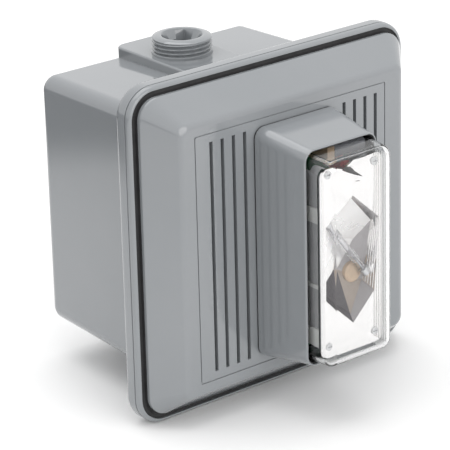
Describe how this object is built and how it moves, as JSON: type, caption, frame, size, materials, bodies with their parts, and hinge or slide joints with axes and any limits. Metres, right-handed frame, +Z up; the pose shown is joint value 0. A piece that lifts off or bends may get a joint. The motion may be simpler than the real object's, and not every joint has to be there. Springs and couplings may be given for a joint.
{
  "type": "horn strobe",
  "caption": "Wall-mounted weatherproof horn strobe: a square slotted cover with a raised clear-lens strobe, on a deep flanged back box with a plugged pipe entry.",
  "frame": {"origin": "centre of the back box's flat back face, on the wall, midway between its four wall-screw holes", "axes": "+Z up, +Y into the wall, so the cover and strobe face -Y; +X to the right seen from the front"},
  "size_m": [0.15, 0.1453, 0.15],
  "materials": {
    "grey_housing": "gloss",
    "black_rubber": "matte",
    "steel": "satin",
    "lens_clear": "gloss",
    "tube_glass": "gloss",
    "reflector_metallised": "gloss",
    "carrier_grey": "satin",
    "pale_plastic": "satin",
    "circuit_board": "satin",
    "capacitor_grey": "satin",
    "red_plastic": "satin",
    "capacitor_beige": "satin",
    "screen_cloth": "matte",
    "black_plastic": "satin",
    "basket_paint": "satin",
    "ferrite": "matte",
    "copper_wire": "satin",
    "cone_cloth": "matte",
    "brass": "satin",
    "terminal_green": "satin",
    "switch_blue": "satin",
    "knob_orange": "satin",
    "sleeve_blue": "satin",
    "transformer_iron": "matte",
    "lead_black": "matte",
    "earth_green": "satin"
  },
  "bodies": {
    "housing": {"back_box": "grey_housing", "conduit_plug": "grey_housing", "cover_gasket": "black_rubber", "front_cover": "grey_housing", "cover_screws": "steel", "housing_seal": "black_rubber", "strobe_housing": "grey_housing", "housing_screws": "steel", "lens_seal": "black_rubber", "lens": "lens_clear", "reflector_carrier": "carrier_grey", "carrier_tabs": "pale_plastic", "reflector": "reflector_metallised", "reflector_screws": "steel", "flash_tube": "tube_glass", "tube_terminals": "steel", "strobe_board": "circuit_board", "strobe_capacitor": "capacitor_grey", "trigger_coil": "red_plastic", "film_capacitor": "capacitor_beige", "acoustic_screen": "screen_cloth", "chassis": "black_plastic", "chassis_screws": "steel", "driver_basket": "basket_paint", "driver_tag": "brass", "driver_screws": "steel", "top_plate": "steel", "magnet": "ferrite", "pole_piece": "steel", "board_pillars": "brass", "main_board": "circuit_board", "board_screws": "steel", "terminal_block": "terminal_green", "terminal_screws": "steel", "tone_switch_body": "switch_blue", "volume_switch_body": "steel", "candela_switch_body": "steel", "main_capacitor": "sleeve_blue", "audio_transformer": "transformer_iron", "controller_chip": "black_plastic", "driver_leads": "red_plastic", "strobe_leads": "lead_black", "earth_screw": "earth_green"},
    "diaphragm": {"voice_coil": "copper_wire", "driver_cone": "cone_cloth", "cone_surround": "black_rubber", "dust_cap": "cone_cloth"},
    "tone_lever_1_body": {"tone_lever_1": "pale_plastic"},
    "tone_lever_2_body": {"tone_lever_2": "pale_plastic"},
    "tone_lever_3_body": {"tone_lever_3": "pale_plastic"},
    "tone_lever_4_body": {"tone_lever_4": "pale_plastic"},
    "volume_knob_body": {"volume_knob": "black_plastic"},
    "candela_knob_body": {"candela_knob": "knob_orange"}
  },
  "joints": [
    {"name": "diaphragm_stroke", "type": "slide", "parent": "housing", "child": "diaphragm", "axis": [0, 1, 0], "range_m": [-0.0008, 0.0008], "stiffness_N_per_m": 1200},
    {"name": "tone_lever_1_slide", "type": "slide", "parent": "housing", "child": "tone_lever_1_body", "axis": [0, 0, 1], "range_m": [0, 0.0016]},
    {"name": "tone_lever_2_slide", "type": "slide", "parent": "housing", "child": "tone_lever_2_body", "axis": [0, 0, 1], "range_m": [0, 0.0016]},
    {"name": "tone_lever_3_slide", "type": "slide", "parent": "housing", "child": "tone_lever_3_body", "axis": [0, 0, 1], "range_m": [0, 0.0016]},
    {"name": "tone_lever_4_slide", "type": "slide", "parent": "housing", "child": "tone_lever_4_body", "axis": [0, 0, 1], "range_m": [0, 0.0016]},
    {"name": "volume_slide", "type": "slide", "parent": "housing", "child": "volume_knob_body", "axis": [1, 0, 0], "range_m": [0, 0.002]},
    {"name": "candela_slide", "type": "slide", "parent": "housing", "child": "candela_knob_body", "axis": [1, 0, 0], "range_m": [0, 0.006]}
  ]
}
